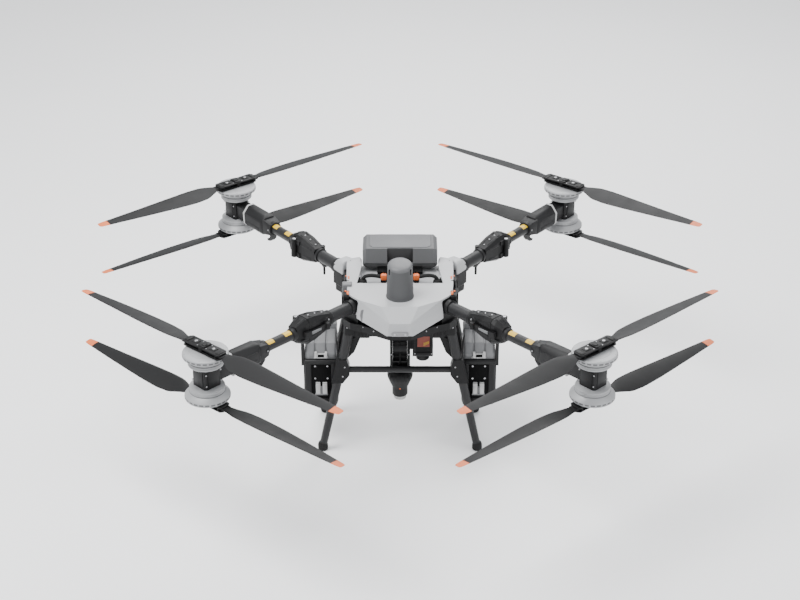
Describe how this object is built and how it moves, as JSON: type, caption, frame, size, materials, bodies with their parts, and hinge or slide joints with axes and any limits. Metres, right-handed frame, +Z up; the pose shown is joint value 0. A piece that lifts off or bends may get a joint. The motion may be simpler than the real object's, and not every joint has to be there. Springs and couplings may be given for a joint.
{
  "type": "heavy-lift multirotor drone",
  "caption": "Load-carrying drone with folding arms, coaxial motor pairs with folding propellers, faceted nose cover, side batteries and a belly winch with a cargo hook.",
  "frame": {"origin": "on the ground under the middle of the rotor square", "axes": "+Z up, nose towards -Y, +X to the viewer's right when facing the nose"},
  "size_m": [2.9174, 2.6879, 1.0341],
  "materials": {
    "shell_grey": "satin painted cover",
    "tower_grey": "matt",
    "case_grey": "satin",
    "frame_black": "fine texture",
    "tube_black": "satin woven tube",
    "motor_grey": "satin anodised",
    "blade_black": "satin moulded",
    "battery_grey": "satin",
    "cable_black": "matt",
    "drum_metal": "brushed"
  },
  "bodies": {
    "airframe": {"center_frame": "frame_black", "top_shell": "shell_grey", "antenna_tower": "tower_grey", "parachute_case": "case_grey", "left_power_cable": "cable_black", "right_power_cable": "cable_black", "front_left_leg": "tube_black", "front_right_leg": "tube_black", "rear_left_leg": "tube_black", "rear_right_leg": "tube_black", "front_crossbar": "tube_black", "left_battery_tray": "frame_black", "right_battery_tray": "frame_black", "winch_frame": "frame_black", "front_left_inner_arm": "tube_black", "front_right_inner_arm": "tube_black", "rear_left_inner_arm": "tube_black", "rear_right_inner_arm": "tube_black"},
    "front_left_arm": {"front_left_outer_arm": "tube_black", "front_left_motor_mount": "frame_black"},
    "front_right_arm": {"front_right_outer_arm": "tube_black", "front_right_motor_mount": "frame_black"},
    "rear_left_arm": {"rear_left_outer_arm": "tube_black", "rear_left_motor_mount": "frame_black"},
    "rear_right_arm": {"rear_right_outer_arm": "tube_black", "rear_right_motor_mount": "frame_black"},
    "front_left_upper_rotor": {"front_left_upper_rotor": "motor_grey"},
    "front_left_lower_rotor": {"front_left_lower_rotor": "motor_grey"},
    "front_right_upper_rotor": {"front_right_upper_rotor": "motor_grey"},
    "front_right_lower_rotor": {"front_right_lower_rotor": "motor_grey"},
    "rear_left_upper_rotor": {"rear_left_upper_rotor": "motor_grey"},
    "rear_left_lower_rotor": {"rear_left_lower_rotor": "motor_grey"},
    "rear_right_upper_rotor": {"rear_right_upper_rotor": "motor_grey"},
    "rear_right_lower_rotor": {"rear_right_lower_rotor": "motor_grey"},
    "front_left_upper_blade_a": {"front_left_upper_blade_a": "blade_black"},
    "front_left_upper_blade_b": {"front_left_upper_blade_b": "blade_black"},
    "front_left_lower_blade_a": {"front_left_lower_blade_a": "blade_black"},
    "front_left_lower_blade_b": {"front_left_lower_blade_b": "blade_black"},
    "front_right_upper_blade_a": {"front_right_upper_blade_a": "blade_black"},
    "front_right_upper_blade_b": {"front_right_upper_blade_b": "blade_black"},
    "front_right_lower_blade_a": {"front_right_lower_blade_a": "blade_black"},
    "front_right_lower_blade_b": {"front_right_lower_blade_b": "blade_black"},
    "rear_left_upper_blade_a": {"rear_left_upper_blade_a": "blade_black"},
    "rear_left_upper_blade_b": {"rear_left_upper_blade_b": "blade_black"},
    "rear_left_lower_blade_a": {"rear_left_lower_blade_a": "blade_black"},
    "rear_left_lower_blade_b": {"rear_left_lower_blade_b": "blade_black"},
    "rear_right_upper_blade_a": {"rear_right_upper_blade_a": "blade_black"},
    "rear_right_upper_blade_b": {"rear_right_upper_blade_b": "blade_black"},
    "rear_right_lower_blade_a": {"rear_right_lower_blade_a": "blade_black"},
    "rear_right_lower_blade_b": {"rear_right_lower_blade_b": "blade_black"},
    "cargo_hook": {"cargo_hook": "frame_black"},
    "winch_drum": {"winch_drum": "drum_metal"},
    "left_battery": {"left_battery": "battery_grey"},
    "right_battery": {"right_battery": "battery_grey"},
    "left_battery_latch": {"left_battery_latch": "battery_grey"},
    "right_battery_latch": {"right_battery_latch": "battery_grey"},
    "front_left_lock": {"front_left_lock_lever": "frame_black"},
    "front_right_lock": {"front_right_lock_lever": "frame_black"},
    "rear_left_lock": {"rear_left_lock_lever": "frame_black"},
    "rear_right_lock": {"rear_right_lock_lever": "frame_black"}
  },
  "joints": [
    {"name": "front_left_arm_fold", "type": "hinge", "parent": "airframe", "child": "front_left_arm", "pos_m": [-0.46467, -0.4002, 0.812], "axis": [0, 0, 1], "range_deg": [-110, 0]},
    {"name": "front_right_arm_fold", "type": "hinge", "parent": "airframe", "child": "front_right_arm", "pos_m": [0.46467, -0.4002, 0.812], "axis": [0, 0, -1], "range_deg": [-110, 0]},
    {"name": "rear_left_arm_fold", "type": "hinge", "parent": "airframe", "child": "rear_left_arm", "pos_m": [-0.51242, 0.37371, 0.812], "axis": [0, 0, 1], "range_deg": [0, 120]},
    {"name": "rear_right_arm_fold", "type": "hinge", "parent": "airframe", "child": "rear_right_arm", "pos_m": [0.51242, 0.37371, 0.812], "axis": [0, 0, -1], "range_deg": [0, 120]},
    {"name": "front_left_upper_spin", "type": "hinge", "parent": "front_left_arm", "child": "front_left_upper_rotor", "pos_m": [-0.826, -0.828, 0.945], "axis": [0, 0, 1], "continuous": true},
    {"name": "front_left_lower_spin", "type": "hinge", "parent": "front_left_arm", "child": "front_left_lower_rotor", "pos_m": [-0.826, -0.828, 0.687], "axis": [0, 0, 1], "continuous": true},
    {"name": "front_right_upper_spin", "type": "hinge", "parent": "front_right_arm", "child": "front_right_upper_rotor", "pos_m": [0.826, -0.828, 0.945], "axis": [0, 0, 1], "continuous": true},
    {"name": "front_right_lower_spin", "type": "hinge", "parent": "front_right_arm", "child": "front_right_lower_rotor", "pos_m": [0.826, -0.828, 0.687], "axis": [0, 0, 1], "continuous": true},
    {"name": "rear_left_upper_spin", "type": "hinge", "parent": "rear_left_arm", "child": "rear_left_upper_rotor", "pos_m": [-0.826, 0.828, 0.945], "axis": [0, 0, 1], "continuous": true},
    {"name": "rear_left_lower_spin", "type": "hinge", "parent": "rear_left_arm", "child": "rear_left_lower_rotor", "pos_m": [-0.826, 0.828, 0.687], "axis": [0, 0, 1], "continuous": true},
    {"name": "rear_right_upper_spin", "type": "hinge", "parent": "rear_right_arm", "child": "rear_right_upper_rotor", "pos_m": [0.826, 0.828, 0.945], "axis": [0, 0, 1], "continuous": true},
    {"name": "rear_right_lower_spin", "type": "hinge", "parent": "rear_right_arm", "child": "rear_right_lower_rotor", "pos_m": [0.826, 0.828, 0.687], "axis": [0, 0, 1], "continuous": true},
    {"name": "front_left_upper_blade_a_fold", "type": "hinge", "parent": "front_left_upper_rotor", "child": "front_left_upper_blade_a", "pos_m": [-0.786, -0.86277, 0.945], "axis": [0, 0, 1], "range_deg": [-82, 0]},
    {"name": "front_left_upper_blade_b_fold", "type": "hinge", "parent": "front_left_upper_rotor", "child": "front_left_upper_blade_b", "pos_m": [-0.866, -0.79323, 0.945], "axis": [0, 0, 1], "range_deg": [0, 82]},
    {"name": "front_left_lower_blade_a_fold", "type": "hinge", "parent": "front_left_lower_rotor", "child": "front_left_lower_blade_a", "pos_m": [-0.786, -0.86277, 0.687], "axis": [0, 0, 1], "range_deg": [-82, 0]},
    {"name": "front_left_lower_blade_b_fold", "type": "hinge", "parent": "front_left_lower_rotor", "child": "front_left_lower_blade_b", "pos_m": [-0.866, -0.79323, 0.687], "axis": [0, 0, 1], "range_deg": [0, 82]},
    {"name": "front_right_upper_blade_a_fold", "type": "hinge", "parent": "front_right_upper_rotor", "child": "front_right_upper_blade_a", "pos_m": [0.866, -0.79323, 0.945], "axis": [0, 0, -1], "range_deg": [-82, 0]},
    {"name": "front_right_upper_blade_b_fold", "type": "hinge", "parent": "front_right_upper_rotor", "child": "front_right_upper_blade_b", "pos_m": [0.786, -0.86277, 0.945], "axis": [0, 0, -1], "range_deg": [0, 82]},
    {"name": "front_right_lower_blade_a_fold", "type": "hinge", "parent": "front_right_lower_rotor", "child": "front_right_lower_blade_a", "pos_m": [0.866, -0.79323, 0.687], "axis": [0, 0, -1], "range_deg": [-82, 0]},
    {"name": "front_right_lower_blade_b_fold", "type": "hinge", "parent": "front_right_lower_rotor", "child": "front_right_lower_blade_b", "pos_m": [0.786, -0.86277, 0.687], "axis": [0, 0, -1], "range_deg": [0, 82]},
    {"name": "rear_left_upper_blade_a_fold", "type": "hinge", "parent": "rear_left_upper_rotor", "child": "rear_left_upper_blade_a", "pos_m": [-0.78424, 0.86063, 0.945], "axis": [0, 0, 1], "range_deg": [0, 82]},
    {"name": "rear_left_upper_blade_b_fold", "type": "hinge", "parent": "rear_left_upper_rotor", "child": "rear_left_upper_blade_b", "pos_m": [-0.86776, 0.79537, 0.945], "axis": [0, 0, 1], "range_deg": [-82, 0]},
    {"name": "rear_left_lower_blade_a_fold", "type": "hinge", "parent": "rear_left_lower_rotor", "child": "rear_left_lower_blade_a", "pos_m": [-0.78424, 0.86063, 0.687], "axis": [0, 0, 1], "range_deg": [0, 82]},
    {"name": "rear_left_lower_blade_b_fold", "type": "hinge", "parent": "rear_left_lower_rotor", "child": "rear_left_lower_blade_b", "pos_m": [-0.86776, 0.79537, 0.687], "axis": [0, 0, 1], "range_deg": [-82, 0]},
    {"name": "rear_right_upper_blade_a_fold", "type": "hinge", "parent": "rear_right_upper_rotor", "child": "rear_right_upper_blade_a", "pos_m": [0.86776, 0.79537, 0.945], "axis": [0, 0, 1], "range_deg": [0, 82]},
    {"name": "rear_right_upper_blade_b_fold", "type": "hinge", "parent": "rear_right_upper_rotor", "child": "rear_right_upper_blade_b", "pos_m": [0.78424, 0.86063, 0.945], "axis": [0, 0, 1], "range_deg": [-82, 0]},
    {"name": "rear_right_lower_blade_a_fold", "type": "hinge", "parent": "rear_right_lower_rotor", "child": "rear_right_lower_blade_a", "pos_m": [0.86776, 0.79537, 0.687], "axis": [0, 0, 1], "range_deg": [0, 82]},
    {"name": "rear_right_lower_blade_b_fold", "type": "hinge", "parent": "rear_right_lower_rotor", "child": "rear_right_lower_blade_b", "pos_m": [0.78424, 0.86063, 0.687], "axis": [0, 0, 1], "range_deg": [-82, 0]},
    {"name": "hook_lower", "type": "slide", "parent": "airframe", "child": "cargo_hook", "axis": [0, 0, -1], "range_m": [0, 0.09]},
    {"name": "drum_turn", "type": "hinge", "parent": "airframe", "child": "winch_drum", "pos_m": [0, -0.034, 0.6], "axis": [1, 0, 0], "range_deg": [-180, 0]},
    {"name": "left_battery_lift", "type": "slide", "parent": "airframe", "child": "left_battery", "axis": [0, 0, 1], "range_m": [0, 0.18]},
    {"name": "right_battery_lift", "type": "slide", "parent": "airframe", "child": "right_battery", "axis": [0, 0, 1], "range_m": [0, 0.18]},
    {"name": "left_latch_swing", "type": "hinge", "parent": "airframe", "child": "left_battery_latch", "pos_m": [-0.371, -0.131, 0.288], "axis": [1, 0, 0], "range_deg": [0, 60]},
    {"name": "right_latch_swing", "type": "hinge", "parent": "airframe", "child": "right_battery_latch", "pos_m": [0.371, -0.131, 0.288], "axis": [1, 0, 0], "range_deg": [0, 60]},
    {"name": "front_left_lock_open", "type": "hinge", "parent": "airframe", "child": "front_left_lock", "pos_m": [-0.32346, -0.39999, 0.812], "axis": [0, 0, 1], "range_deg": [0, 100]},
    {"name": "front_right_lock_open", "type": "hinge", "parent": "airframe", "child": "front_right_lock", "pos_m": [0.32346, -0.39999, 0.812], "axis": [0, 0, 1], "range_deg": [-100, 0]},
    {"name": "rear_left_lock_open", "type": "hinge", "parent": "airframe", "child": "rear_left_lock", "pos_m": [-0.37188, 0.35997, 0.812], "axis": [0, 0, 1], "range_deg": [-100, 0]},
    {"name": "rear_right_lock_open", "type": "hinge", "parent": "airframe", "child": "rear_right_lock", "pos_m": [0.37188, 0.35997, 0.812], "axis": [0, 0, 1], "range_deg": [0, 100]}
  ],
  "couplings": [
    {"joint": "front_left_upper_blade_b_fold", "follows": "front_left_upper_blade_a_fold", "ratio": -1},
    {"joint": "front_left_lower_blade_b_fold", "follows": "front_left_lower_blade_a_fold", "ratio": -1},
    {"joint": "front_right_upper_blade_b_fold", "follows": "front_right_upper_blade_a_fold", "ratio": -1},
    {"joint": "front_right_lower_blade_b_fold", "follows": "front_right_lower_blade_a_fold", "ratio": -1},
    {"joint": "rear_left_upper_blade_b_fold", "follows": "rear_left_upper_blade_a_fold", "ratio": -1},
    {"joint": "rear_left_lower_blade_b_fold", "follows": "rear_left_lower_blade_a_fold", "ratio": -1},
    {"joint": "rear_right_upper_blade_b_fold", "follows": "rear_right_upper_blade_a_fold", "ratio": -1},
    {"joint": "rear_right_lower_blade_b_fold", "follows": "rear_right_lower_blade_a_fold", "ratio": -1},
    {"joint": "drum_turn", "follows": "hook_lower", "rad_per_m": -29.85}
  ]
}
